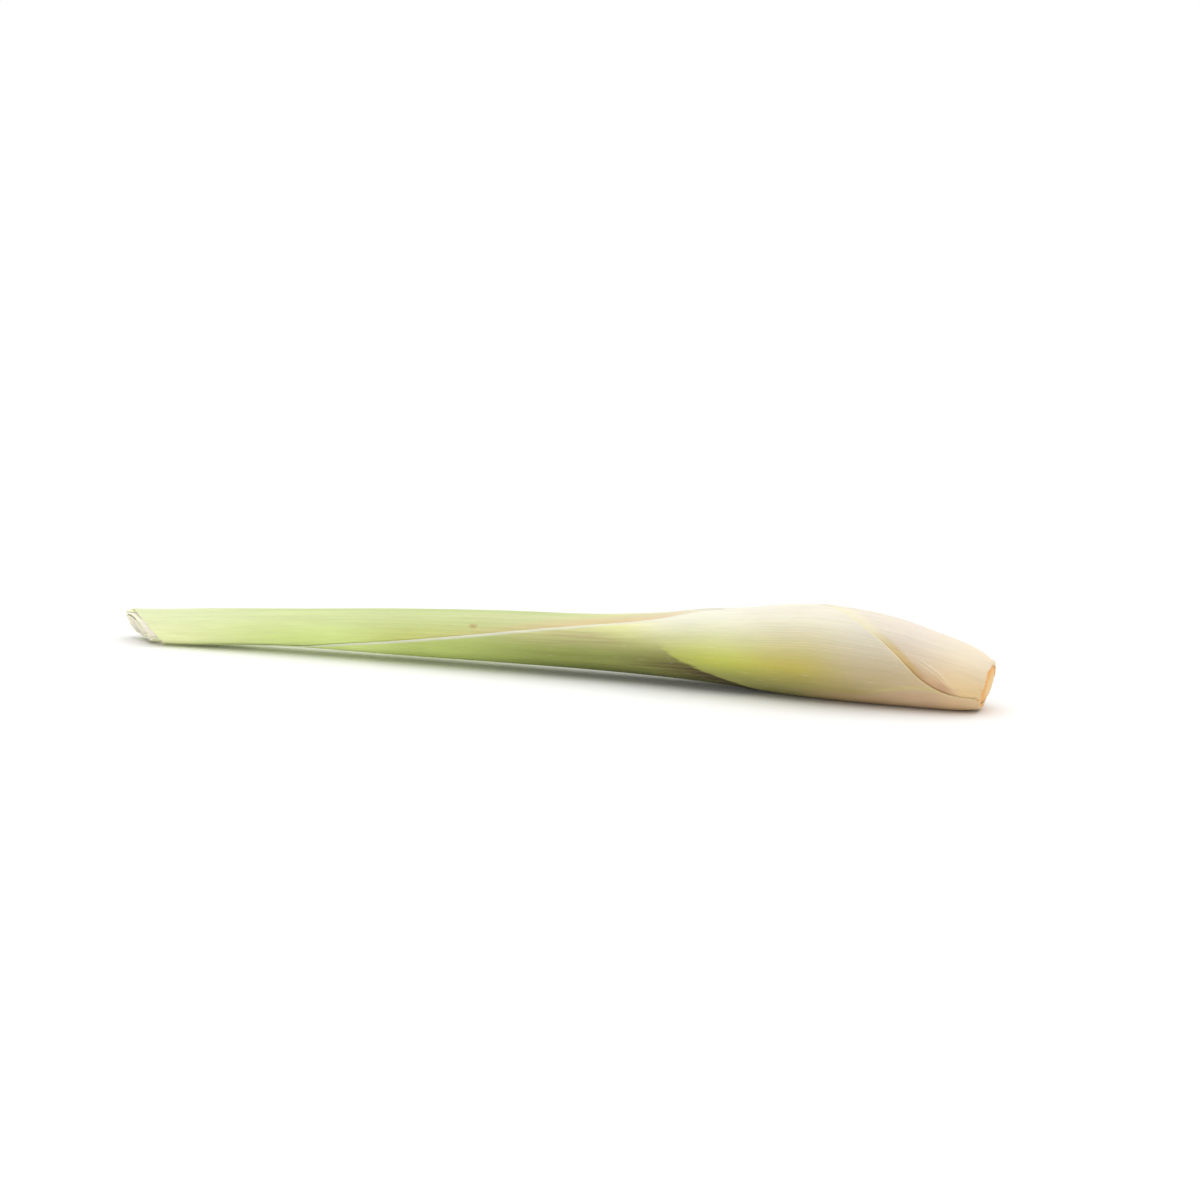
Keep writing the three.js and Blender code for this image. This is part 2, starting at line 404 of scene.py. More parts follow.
def with_its_ends(order, s, angle, turn):
    """Moves both ends of a sheath to their knife lines, with a notch in the outermost at its first edge."""
    sheath = SHEATHS[order]
    at_base = 1 - rise(s - sheath["start"], 0, RAGGED["fade"])
    at_leaf = 1 - rise(sheath["end"] - s, 0, RAGGED["fade"])
    s = s + at_base * ragged(angle, RAGGED["base"], order + 1)
    s = s + at_leaf * ragged(angle, RAGGED["leaf"], order + 3)
    if order < OUTER_SHEATHS:
        s = s - (1 - rise(sheath["end"] - s, 0, DRAWN_BACK["fade"])) * drawn_back(angle)
    if order == 0:
        s = s + at_base * NOTCH["depth"] * hump(turn, 0, NOTCH["width"])
    return s


# %% The sheaths as sheets
PRESSED = {"sunk": 0.27, "thinned": 0.19, "width": 5, "closed": (338, 358)}


def pressed_edge(s, turn, width):
    """1 at the outer sheath's second edge, which is pressed flat where it doesn't pass below the first."""
    from_edge = np.radians(width - turn) * girth_radius(s)
    return (1 - rise(from_edge, 0, PRESSED["width"])) * (1 - rise(width, *PRESSED["closed"]))


def sheath_piece(order):
    """The sheath with this place in the order from the outside."""
    sheath = SHEATHS[order]

    def place_points(t, v, z):
        s = spaced(sheath["start"], sheath["end"], t)
        width = width_of(sheath, s)
        turn = width * v
        angle = sheath["first"](s) + turn
        s = with_its_ends(order, s, angle, turn)
        outer = depth_inside(order, s, angle) + sunk(sheath, s, turn)
        thick = thickness(sheath, s, turn)
        proud = relief(s, angle)
        kept = {"along": s, "round": angle, "inner": -z}
        if order == 0:
            proud = proud + edge_lift(s, turn)
            pressed = pressed_edge(s, turn, width)
            outer = outer + PRESSED["sunk"] * pressed
            thick = thick - PRESSED["thinned"] * pressed
            kept["edge"] = np.radians(np.minimum(turn, width - turn)) * girth_radius(s)
        if order == 1:
            proud = proud + fold(s, angle)
            kept["past"] = past_first_edge(s, angle)
            kept["vein"] = past_vein(s, angle)
        outwards = np.where(v < TINY, -1, np.where(v > 1 - TINY, 1, 0))
        half_round = outwards * np.sqrt(np.clip(-z * (1 + z), 0, None)) * EDGE / girth_radius(s)
        return place(s, angle + np.degrees(half_round), outer - z * thick, proud), kept

    slab = flat_slab(sheath["along"], sheath["across"])
    return finished_piece(sheath["name"] + "_fine", slab, place_points)


sheaths = [sheath_piece(order) for order in range(len(SHEATHS))]

# %% [markdown]
# ## The heart leaf
#
# The youngest leaf is still a tight roll of four turns. Its spiral shows in the middle of the leaf end. A
# spiral could be bent from a flat strip, but it is the same sheet again, wound inwards as it goes round.

# %% The heart leaf as a wound sheet
ROLL = {"start": 56, "end": LEAF_CUT["s"] + 1.8, "from": 205, "turn": 1460, "pitch": 0.7, "thick": 0.52}
HEART_KNIFE = {"size": 0.3, "phase": 9}
HEART_HOLE = {"outer_face": 0.16, "inner_face": 0.06}  # mm from the middle where each face has to stop


def heart_points(t, v, z):
    s = spaced(ROLL["start"], ROLL["end"], t)
    turn = ROLL["turn"] * v
    angle = ROLL["from"] + turn
    at_leaf = 1 - rise(ROLL["end"] - s, 0, RAGGED["fade"])
    s = s + at_leaf * ragged(angle, HEART_KNIFE["size"], HEART_KNIFE["phase"])
    outer = depth_inside(len(SHEATHS), s, angle) + ROLL["pitch"] * turn / 360
    hole = HEART_HOLE["outer_face"] + z * (HEART_HOLE["outer_face"] - HEART_HOLE["inner_face"])
    deepest = height(s) / 2 + relief(s, angle) - hole
    points = place(s, angle, np.minimum(outer - z * ROLL["thick"], deepest), relief(s, angle))
    return points, {"along": s, "round": angle, "inner": -z}


heart = finished_piece("heart_leaf_fine", flat_slab(130, 170), heart_points)

# %% [markdown]
# ## The stem
#
# The solid stem fills the bulb and ends in a point between the sheaths. Only its cut face shows. It could
# be turned on a lathe, but the sheaths round it aren't round. So a cone operator gives a closed can, insets
# give its end the rings that the fibrous cut face needs, the wall gets cuts along its length, and the
# points are moved as the sheaths' are. Near the cut the stem swells until it meets the sheaths, with a
# narrow gap left on one side, where it has dried and shrunk.

# %% The stem as a can
STEM = {"end": 52, "around": 96, "along": 48, "rings": 9, "rings_reach": 0.96}


def stem_can():
    """A closed can of radius 1 from z -0.5 to 0.5, with rings in its upper end."""
    can = bmesh.new()
    bmesh.ops.create_cone(can, cap_ends=True, segments=STEM["around"], radius1=1, radius2=1, depth=1)
    wall = [edge for edge in can.edges if abs(edge.verts[0].co.z - edge.verts[1].co.z) > 0.5]
    bmesh.ops.subdivide_edges(can, edges=wall, cuts=STEM["along"], use_grid_fill=True)
    can.faces.ensure_lookup_table()
    ends = [face for face in can.faces if len(face.verts) > 4]
    cut_face = max(ends, key=lambda face: face.calc_center_median().z)
    for _ in range(STEM["rings"]):
        bmesh.ops.inset_region(can, faces=[cut_face], thickness=STEM["rings_reach"] / STEM["rings"])
    bmesh.ops.poke(can, faces=[cut_face])
    for face in can.faces:
        face.smooth = True
    for edge in can.edges:
        on_rim = all(abs(vert.co.z - 0.5) < TINY and vert.co.xy.length > 0.999 for vert in edge.verts)
        edge.smooth = not on_rim
    return can


# %% The can's points on the stalk
stem_radius = through([
    (0, 3.4), (4, 5.0), (9, 5.9), (14, 5.9), (20, 6.4), (27, 6.0), (38, 5.2), (47, 3.8), (STEM["end"], 1.6),
])
STEM_GAP = {"all_round": 0.05, "more": 0.9, "round": 292, "width": 40}
SWELLS = (1, 9)
STEM_CUT = {"dome": 0.75, "above": 0.1}
CROWDED_AT_CUT = 1.3


def stem_points(x, y, z):
    """The can's upper end becomes the cut face at the base."""
    out = np.hypot(x, y)
    angle = np.degrees(np.arctan2(y, x))
    s = BASE_CUT["s"] + (STEM["end"] - BASE_CUT["s"]) * np.clip(0.5 - z, 0, 1) ** CROWDED_AT_CUT
    free = height(s) / 2 - depth_inside(OUTER_SHEATHS, s, angle)
    on_one_side = hump(np.mod(angle, 360), STEM_GAP["round"], STEM_GAP["width"])
    gap = STEM_GAP["all_round"] + STEM_GAP["more"] * on_one_side
    swollen = np.maximum(free - gap, stem_radius(s))
    radius = stem_radius(s) + (swollen - stem_radius(s)) * (1 - rise(s, *SWELLS))
    fibres = 0.07 * np.sin(19 * x + 3) * np.sin(23 * y + 1) + 0.05 * np.sin(41 * x + 9 * y)
    domed = fibres - STEM_CUT["dome"] * (1 - out ** 4) + STEM_CUT["above"]
    s = s + np.where(z > 0.5 - TINY, domed, 0)
    points = place(s, angle, height(s) / 2 - out * radius)
    return points, {"along": s, "round": angle, "radius": out}


stem = finished_piece("stem_core_fine", stem_can(), stem_points)

# %% [markdown]
# ## Torn fibres
#
# The knife leaves a fringe of fine fibres round the base, and a few lie loose where the bulb narrows. Hair
# particles don't survive an export, so each fibre is a three-sided cone with its root sunk in the skin. A
# seeded draw gives every fibre its place, length and lean, and the result is the same at each run.

# %% One fibre as a thin cone
FIBRE_TAPER = 0.25
ASIDE = 0.5  # mm to the second point that gives a direction


def surface_frame(s, angle):
    """A point on the outer surface, the direction out of it and the direction towards the base."""
    here = place(np.array(s), np.array(angle), np.array(0.0))
    out = here - place(np.array(s), np.array(angle), np.array(ASIDE))
    down = place(np.array(max(s - ASIDE, 0)), np.array(angle), np.array(0.0)) - here
    return Vector(here), Vector(out).normalized(), Vector(down).normalized()


def add_fibre(fringe, root, direction, length, radius):
    """One fibre: a cone from its root along a direction, in metres."""
    turn = direction.to_track_quat("Z", "Y").to_matrix().to_4x4()
    middle = root + direction * (length / 2)
    bmesh.ops.create_cone(
        fringe, cap_ends=True, segments=3, radius1=radius, radius2=radius * FIBRE_TAPER, depth=length,
        matrix=Matrix.Translation(middle) @ turn,
    )


# %% The fringe and the loose fibres
FRINGE = {"count": 170, "s": (1.0, 1.9), "out": (-0.35, 0.7), "any_way": (-0.5, 0.5), "length": (0.3, 1.15)}
FRINGE_SIZES = {"uneven": 1.4, "rooted": 0.1, "radius": 0.035}
LOOSE = {"count": 46, "round": (180, 11), "s": (77, 5), "out": (-0.04, 0.12), "up": (0, 0.3)}
LOOSE_SIZES = {"length": (0.6, 2.0), "rooted": 0.12, "radius": 0.0245}


def add_fringe(fringe, draw):
    """Short fibres all round the base cut, leaning every way."""
    for _ in range(FRINGE["count"]):
        angle = draw.uniform(0, 360)
        root, out, down = surface_frame(draw.uniform(*FRINGE["s"]), angle)
        lean = down + out * draw.uniform(*FRINGE["out"])
        lean = lean + Vector([draw.uniform(*FRINGE["any_way"]) for _ in range(3)])
        length = draw.uniform(*FRINGE["length"]) ** FRINGE_SIZES["uneven"]
        root = root - out * FRINGE_SIZES["rooted"] * MM
        add_fibre(fringe, root, lean.normalized(), length * MM, FRINGE_SIZES["radius"] * MM)


def add_loose_fibres(fringe, draw):
    """Finer fibres that lie on the front, where the bulb narrows."""
    for _ in range(LOOSE["count"]):
        angle = draw.gauss(*LOOSE["round"])
        root, out, down = surface_frame(draw.gauss(*LOOSE["s"]), angle)
        lean = down * draw.choice([-1, 1]) + out * draw.uniform(*LOOSE["out"])
        lean = lean + Vector((0, 0, draw.gauss(*LOOSE["up"])))
        length = draw.uniform(*LOOSE_SIZES["length"])
        root = root - out * LOOSE_SIZES["rooted"] * MM
        add_fibre(fringe, root, lean.normalized(), length * MM, LOOSE_SIZES["radius"] * MM)


def fibre_piece():
    draw = random.Random(11)
    fringe = bmesh.new()
    add_fringe(fringe, draw)
    add_loose_fibres(fringe, draw)
    return finished_piece("torn_fibres", fringe)


fibres = fibre_piece()

# %% [markdown]
# ## Building shaders in short steps
#
# A skin is built from many small nodes. Adding them by hand takes five lines each, so a few helpers do it:
# each makes one node, sets its values, links what comes in, and gives back the socket that comes out.

# %% Helpers for numbers
def feed(tree, socket, value):
    """Links a socket, or sets its value where a plain one is given."""
    if isinstance(value, bpy.types.NodeSocket):
        tree.links.new(value, socket)
    else:
        socket.default_value = value


def number(tree, operation, *values):
    """A Math node."""
    node = tree.nodes.new("ShaderNodeMath")
    node.operation = operation
    for socket, value in zip(node.inputs, values):
        feed(tree, socket, value)
    return node.outputs[0]


def times(tree, first, *others):
    """All the given values multiplied."""
    for other in others:
        first = number(tree, "MULTIPLY", first, other)
    return first


def plus(tree, first, *others):
    """All the given values added up."""
    for other in others:
        first = number(tree, "ADD", first, other)
    return first


def between(tree, value, start, end, low=0.0, high=1.0):
    """A smooth step from low to high while value goes from start to end. The end may lie below the start."""
    node = tree.nodes.new("ShaderNodeMapRange")
    node.interpolation_type = "SMOOTHSTEP"
    labels = ("Value", "From Min", "From Max", "To Min", "To Max")
    for label, given in zip(labels, (value, start, end, low, high)):
        feed(tree, node.inputs[label], given)
    return node.outputs["Result"]


def bump_at(tree, value, middle, width):
    """1 where value is at the middle, fading to 0 at a width on either side."""
    off = number(tree, "ABSOLUTE", number(tree, "SUBTRACT", value, middle))
    return between(tree, off, width, 0.0)


def noise(tree, vector, scale, detail=3.0, roughness=0.55):
    """Smooth noise round 0.5."""
    node = tree.nodes.new("ShaderNodeTexNoise")
    given = {"Vector": vector, "Scale": scale, "Detail": detail, "Roughness": roughness}
    for label, value in given.items():
        feed(tree, node.inputs[label], value)
    return node.outputs[0]


def kept_value(tree, name):
    """What the mesh kept for each point under this name."""
    node = tree.nodes.new("ShaderNodeAttribute")
    node.attribute_type = "GEOMETRY"
    node.attribute_name = name
    return node.outputs["Fac"]


# %% Helpers for colours
def daylight(red, green, blue):
    """A colour as it looks in daylight, 0 to 255, as the linear values that a shader takes."""
    parts = [c / 255 for c in (red, green, blue)]
    return (*[c / 12.92 if c <= 0.04045 else ((c + 0.055) / 1.055) ** 2.4 for c in parts], 1)


def mixed(tree, share, first, second):
    """A colour between first and second. A Mix node has its colours at inputs 6 and 7 and output 2."""
    node = tree.nodes.new("ShaderNodeMix")
    node.data_type = "RGBA"
    feed(tree, node.inputs[0], share)
    feed(tree, node.inputs[6], first)
    feed(tree, node.inputs[7], second)
    return node.outputs[2]


def colours_along(tree, along, stops):
    """A colour that changes along the stalk, given as (mm from the base cut, colour) stops."""
    node = tree.nodes.new("ShaderNodeValToRGB")
    node.color_ramp.interpolation = "EASE"
    elements = node.color_ramp.elements
    while len(elements) < len(stops):
        elements.new(0.5)
    for element, (s, colour) in zip(elements, stops):
        element.position = s / LENGTH
        element.color = colour
    feed(tree, node.inputs[0], number(tree, "DIVIDE", along, LENGTH))
    return node.outputs[0]


# %% Helpers for node groups
def effect(name, inputs, outputs, build):
    """A node group. build(tree, values) wires it and gives back its outputs by name."""
    group = bpy.data.node_groups.new(name, "ShaderNodeTree")
    for label, value in inputs.items():
        socket = group.interface.new_socket(label, in_out="INPUT", socket_type="NodeSocketFloat")
        socket.default_value = value
    for label, kind in outputs.items():
        group.interface.new_socket(label, in_out="OUTPUT", socket_type=kind)
    entry = group.nodes.new("NodeGroupInput")
    leave = group.nodes.new("NodeGroupOutput")
    made = build(group, {label: entry.outputs[label] for label in inputs})
    for label in outputs:
        group.links.new(made[label], leave.inputs[label])
    print("Effect:", name)
    return group


def use(tree, group, **values):
    """Places a group in a material with its own values, and gives back its outputs."""
    node = tree.nodes.new("ShaderNodeGroup")
    node.node_tree = group
    for label, value in values.items():
        feed(tree, node.inputs[label.replace("_", " ")], value)
    return node.outputs


# %% [markdown]
# ## Effects that the skins share
#
# Four effects repeat over the stalk. Parallel veins run along the leaf, as fine darker and paler lines.
# Cloudy patches break up the even colour. Short pale flecks are where hairs and scratches catch the light.
# A cut face shows dots of fibre in softer tissue. Each is a node group, so all the layers get the same
# plant tissue, and each skin only sets how strong it is.
#
# Noise is read on a ring and not on the flat map, so no seam shows where the map's two sides meet. The
# ring has a radius of 1, and one unit of its x is 50 mm of the stalk. So every pattern comes out drawn out
# along the leaf, as plant tissue is.

# %% Where a point lies on the stalk
RING_PER_MM = 0.02


def build_place(tree, _):
    along = kept_value(tree, "along")
    turned = number(tree, "RADIANS", kept_value(tree, "round"))
    up = number(tree, "SINE", turned)
    ring = tree.nodes.new("ShaderNodeCombineXYZ")
    feed(tree, ring.inputs[0], number(tree, "MULTIPLY", along, RING_PER_MM))
    feed(tree, ring.inputs[1], number(tree, "COSINE", turned))
    feed(tree, ring.inputs[2], up)
    return {"Along": along, "Up": up, "Ring": ring.outputs[0]}


place_outputs = {"Along": "NodeSocketFloat", "Up": "NodeSocketFloat", "Ring": "NodeSocketVector"}
stalk_place = effect("Stalk place", {}, place_outputs, build_place)


def stretched(tree, ring, along, round_scale):
    """The ring coordinates scaled apart along the stalk and round it."""
    scale = tree.nodes.new("ShaderNodeCombineXYZ")
    for socket, value in zip(scale.inputs, (along, round_scale, round_scale)):
        feed(tree, socket, value)
    node = tree.nodes.new("ShaderNodeVectorMath")
    node.operation = "MULTIPLY"
    feed(tree, node.inputs[0], ring)
    feed(tree, node.inputs[1], scale.outputs[0])
    return node.outputs[0]


# %% Parallel veins
FINE_VEINS = {"along": 1.2, "share": 0.55}
COARSE_VEINS = {"along": 0.7, "share": 0.45, "coarser": 0.36}


def build_veins(tree, values):
    ring = use(tree, stalk_place)["Ring"]
    fineness = values["Fineness"]
    coarseness = number(tree, "MULTIPLY", fineness, COARSE_VEINS["coarser"])
    fine = noise(tree, stretched(tree, ring, FINE_VEINS["along"], fineness), 1.0, 2.0)
    coarse = noise(tree, stretched(tree, ring, COARSE_VEINS["along"], coarseness), 1.0, 2.0)
    both = plus(tree, times(tree, fine, FINE_VEINS["share"]), times(tree, coarse, COARSE_VEINS["share"]))
    lines = between(tree, both, 0.36, 0.64)
    tone = plus(tree, 1.0, times(tree, number(tree, "SUBTRACT", lines, 0.5), values["Tone depth"]))
    return {"Tone": tone, "Height": lines}


parallel_veins = effect(
    "Parallel veins", {"Fineness": 62.0, "Tone depth": 0.1},
    {"Tone": "NodeSocketFloat", "Height": "NodeSocketFloat"}, build_veins,
)


# %% Cloudy patches
def build_patches(tree, values):
    ring = use(tree, stalk_place)["Ring"]
    clouds = noise(tree, stretched(tree, ring, values["Along"], values["Round"]), 1.0, 4.0, 0.6)
    return {"Mask": between(tree, clouds, 0.38, 0.62), "Cloud": clouds}


cloudy_patches = effect(
    "Cloudy patches", {"Along": 2.0, "Round": 2.2},
    {"Mask": "NodeSocketFloat", "Cloud": "NodeSocketFloat"}, build_patches,
)


# %% Pale flecks
FLECK_EDGE = 0.05


def build_flecks(tree, values):
    ring = use(tree, stalk_place)["Ring"]
    short = noise(tree, stretched(tree, ring, values["Along"], values["Round"]), 1.0, 1.0)
    return {"Mask": between(tree, short, values["Rarity"], plus(tree, values["Rarity"], FLECK_EDGE))}


pale_flecks = effect(
    "Pale flecks", {"Along": 12.0, "Round": 60.0, "Rarity": 0.727},
    {"Mask": "NodeSocketFloat"}, build_flecks,
)


# %% Fibre dots on a cut face
GRAINS_PER_METRE = 5200.0


def build_fibre_dots(tree, values):
    where = tree.nodes.new("ShaderNodeTexCoord").outputs["Object"]
    cells = tree.nodes.new("ShaderNodeTexVoronoi")
    feed(tree, cells.inputs["Vector"], where)
    feed(tree, cells.inputs["Scale"], values["Dots per metre"])
    return {
        "Dots": between(tree, cells.outputs["Distance"], 0.3, 0.08),
        "Grains": noise(tree, where, GRAINS_PER_METRE, 2.0),
    }


fibre_dots = effect(
    "Fibre dots", {"Dots per metre": 2600.0},
    {"Dots": "NodeSocketFloat", "Grains": "NodeSocketFloat"}, build_fibre_dots,
)

# %% [markdown]
# ## Fresh plant skin
#
# All the skins are moist plant tissue: light sinks in a little before it comes out, and the surface has a
# soft waxy sheen. The Principled shader takes those as plain values. What changes over the skin is its
# colour, its roughness and a low bump from the veins.

# %% A material with the values of plant tissue
TISSUE = {
    "IOR": 1.42,
    "Specular IOR Level": 0.34,
    "Subsurface Weight": 0.12,
    "Subsurface Radius": (1.0, 0.75, 0.35),
    "Subsurface Scale": 0.0016,
}


def plant_material(name):
    """Gives back the material, its tree and its shader."""
    material = bpy.data.materials.new(name)
    material.use_nodes = True
    shader = material.node_tree.nodes["Principled BSDF"]
    for label, value in TISSUE.items():
        shader.inputs[label].default_value = value
    return material, material.node_tree, shader


def raise_lines(tree, shader, heights, distance):
    """A bump of this many metres from a value between 0 and 1."""
    bump = tree.nodes.new("ShaderNodeBump")
    bump.inputs["Distance"].default_value = distance
    tree.links.new(heights, bump.inputs["Height"])
    tree.links.new(bump.outputs[0], shader.inputs["Normal"])


# %% What every skin gets last
VEINS = {"stronger": (70, 130, 0.6, 1.0), "relief": 0.00005}
CLOUDS = {"tone": (0.3, 0.7, 0.955, 1.03), "roughness": (0.3, 0.7, 0.46, 0.6)}
FLECK = {"colour": daylight(250, 246, 226), "share": 0.4}
INNER_FACE = {"colour": daylight(250, 248, 224), "depth": (0.3, 0.7, 0.0, 0.8)}


def finish_skin(tree, shader, colour, tone_depth):
    """Adds veins, patches and flecks to a skin's colour, and drives its roughness and bump from them."""
    stronger = between(tree, kept_value(tree, "along"), *VEINS["stronger"])
    veins = use(tree, parallel_veins, Tone_depth=times(tree, stronger, tone_depth))
    cloud = use(tree, cloudy_patches)["Cloud"]
    toned = tree.nodes.new("ShaderNodeVectorMath")
    toned.operation = "SCALE"
    feed(tree, toned.inputs[0], colour)
    feed(tree, toned.inputs["Scale"], times(tree, veins["Tone"], between(tree, cloud, *CLOUDS["tone"])))
    flecked = times(tree, use(tree, pale_flecks)["Mask"], FLECK["share"])
    colour = mixed(tree, flecked, toned.outputs[0], FLECK["colour"])
    inside = between(tree, kept_value(tree, "inner"), *INNER_FACE["depth"])
    tree.links.new(mixed(tree, inside, colour, INNER_FACE["colour"]), shader.inputs["Base Color"])
    tree.links.new(between(tree, cloud, *CLOUDS["roughness"]), shader.inputs["Roughness"])
    raise_lines(tree, shader, veins["Height"], VEINS["relief"])


# %% [markdown]
# ## Plant colours
#
# What grew in soil is peach and cream, and what stood in the air is leaf green, with straw, tan and olive
# between them. Every colour could be written where it is used, but the sheaths share them. So each has a
# name here, and a skin is a few short ramps of named colours along the stalk: one for its sunlit top and
# one for its shaded side. The top's lighter colours are partly painted light and the side's darker ones
# partly painted shade; the rest is the plant's own colour. The names were given last. Most of the numbers
# from PEACH to PALE_GREEN come from a program's fit to measured samples, with close ones averaged. The rest
# were set from the same samples.
# That is an open fault.

# %% The colours of the skins
PEACH = daylight(250, 217, 164)
PALE_PEACH = daylight(244, 228, 201)
STRAW = daylight(252, 230, 174)
DUSTY_CREAM = daylight(233, 222, 206)
CREAM = daylight(240, 233, 214)
IVORY = daylight(247, 243, 223)
TAN = daylight(217, 193, 153)
BRUISED_TAN = daylight(215, 183, 137)
SAND = daylight(220, 199, 160)
KHAKI = daylight(202, 184, 142)
DULL_OLIVE = daylight(172, 156, 100)
OLIVE = daylight(151, 146, 88)
MUSTARD = daylight(204, 190, 93)
LIME = daylight(209, 213, 94)
MOSS = daylight(160, 170, 89)
OLIVE_GREEN = daylight(176, 176, 98)
LEAF_GREEN = daylight(197, 212, 122)
BRIGHT_LEAF = daylight(211, 217, 122)
FRESH_GREEN = daylight(225, 241, 153)
SHINY_GREEN = daylight(239, 250, 178)
LEAF_TIP = daylight(250, 254, 193)
BUTTER = daylight(250, 248, 183)
GREEN_BUTTER = daylight(224, 222, 147)
GREY_GREEN = daylight(215, 217, 164)
DULL_GREEN = daylight(206, 216, 157)
SOFT_GREEN = daylight(215, 225, 164)
PALE_GREEN = daylight(225, 232, 184)

# %% [markdown]
# ## Marks on a skin
#
# A stain, a flush or a pale edge is a mark: a colour, its share of the mix and where it lies. Marks could be
# painted on a map by hand, but a rule for each keeps them in step with the shape. In the values of a mark, a
# pair for `between` says where a step starts and where it is full, and two more numbers say from which value
# to which it goes. A pair for `bump_at` is a middle and a width.

# %% Where a point lies, for the skins
# How far up a point faces sets its share of the lighter top colours, which are partly painted light.
SUNLIT = (-0.3, 1.05)


def where_on_skin(tree):
    """mm along the stalk, degrees round it, how far up it faces (1 on top, -1 below) and its share of sun."""
    place_here = use(tree, stalk_place)
    return {
        "along": place_here["Along"],
        "round": kept_value(tree, "round"),
        "up": place_here["Up"],
        "sunlit": between(tree, place_here["Up"], *SUNLIT),
    }


def side_to_top(tree, along, sunlit, side, top):
    """A colour between a sheath's shaded side and its sunlit top, partly painted shade and painted light."""
    return mixed(tree, sunlit, colours_along(tree, along, side), colours_along(tree, along, top))


def stretch_of(tree, along, mark):
    """1 on the stretch of the stalk where a mark lies, fading in where it starts and out where it ends."""
    return times(tree, between(tree, along, *mark["starts"]), between(tree, along, *mark["ends"]))


# %% [markdown]
# ## The outer sheath
#
# The outer sheath goes from a cream bulb, which grew in the soil, through yellow-green to leaf green. The
# line between what was covered and what stood in the air runs slantwise round it, and just above that line
# the skin is stained brown. The two zones could be one colour ramp, but the line is crisp at the front and
# soft on top, so each zone has its own ramps, and a mask that follows the slant joins them. At the back the
# skin is plainer: it runs softly from cream to green and has no stain.

# %% The bulb's and the leaf's colours, in mm from the base cut
BULB_TOP = [(0, PALE_PEACH), (18, DUSTY_CREAM), (36, CREAM), (84, IVORY), (110, BUTTER)]
BULB_SIDE = [(0, PEACH), (10, TAN), (30, KHAKI), (50, MUSTARD), (72, LIME)]
# Underneath, the darker tan and olive are partly painted shade.
BULB_BELOW_AND_SHADE = [(0, STRAW), (7, PEACH), (15, TAN), (36, DULL_OLIVE), (54, OLIVE), (100, MOSS)]
LEAF_TOP = [(80, CREAM), (102, BUTTER), (124, BUTTER), (152, SOFT_GREEN), (LENGTH, PALE_GREEN)]
LEAF_SIDE = [(70, OLIVE_GREEN), (118, MOSS), (165, LEAF_GREEN), (190, FRESH_GREEN), (LENGTH, SHINY_GREEN)]
BULB_BACK = {"round": (284, 338), "sunlit": 0.62, "below": 0.5}
FACES_DOWN = (-0.1, -0.75)


def bulb_colour(tree, here, behind):
    """Cream on top, tan and lime at the side, olive below, plainer at the back. The olive is partly painted
    shade.
    """
    sunlit = number(tree, "MAXIMUM", here["sunlit"], times(tree, behind, BULB_BACK["sunlit"]))
    colour = side_to_top(tree, here["along"], sunlit, BULB_SIDE, BULB_TOP)
    in_shade = between(tree, behind, 0.0, 1.0, 1.0, BULB_BACK["below"])
    below = times(tree, between(tree, here["up"], *FACES_DOWN), in_shade)
    return mixed(tree, below, colour, colours_along(tree, here["along"], BULB_BELOW_AND_SHADE))


# %% [markdown]
# ### The slanted line and its stain
#
# On the real stalk the line is where the soil stopped. Rain and soil stained the skin brown just above it.
# Low on the side the stain is deepened, partly as painted shade, and a dark olive painted shade lies
# underneath. A line at a fixed distance would look like a painted ring. So the distance changes with the
# angle, dips in front and wavers, and the stain is measured from that line.

# %% The slanted line between bulb and leaf
UNDERNEATH = 270
SLANT = {"underneath": 54, "mm_per_degree": 0.35}
DIP = {"round": 199, "width": 34, "mm": 3.2}
WAVER = 7.0


def past_slanted_line(tree, here):
    """Distance past the line, in mm along the stalk. The line dips in front and wavers a little."""
    from_below = number(tree, "ABSOLUTE", number(tree, "SUBTRACT", here["round"], UNDERNEATH))
    slant = plus(tree, SLANT["underneath"], times(tree, from_below, SLANT["mm_per_degree"]))
    dip = times(tree, bump_at(tree, here["round"], DIP["round"], DIP["width"]), DIP["mm"])
    cloud = use(tree, cloudy_patches, Along=8.0, Round=6.0)["Cloud"]
    waver = times(tree, number(tree, "SUBTRACT", cloud, 0.5), WAVER)
    return number(tree, "SUBTRACT", plus(tree, here["along"], waver), plus(tree, slant, dip))


# %% The stain above the line
STAIN = {"colour": daylight(88, 70, 44), "reach": 66, "full": 4, "darker_for": 24}
# How strong the stain is; its growth low on the side and underneath is partly painted shade.
STAIN_DEPTH_AND_SHADE = {"side": 0.14, "below": 0.95, "up": (0.3, -0.6), "steep": 2.2}
AMOUNT = {"even": 0.28, "streaks": 0.24, "near_line": 0.5}
# A dark olive underneath, which is painted shade.
UNDERSIDE_SHADE = {"colour": daylight(62, 66, 30), "up": (-0.45, -0.85), "along": (150, 105), "share": 0.5}


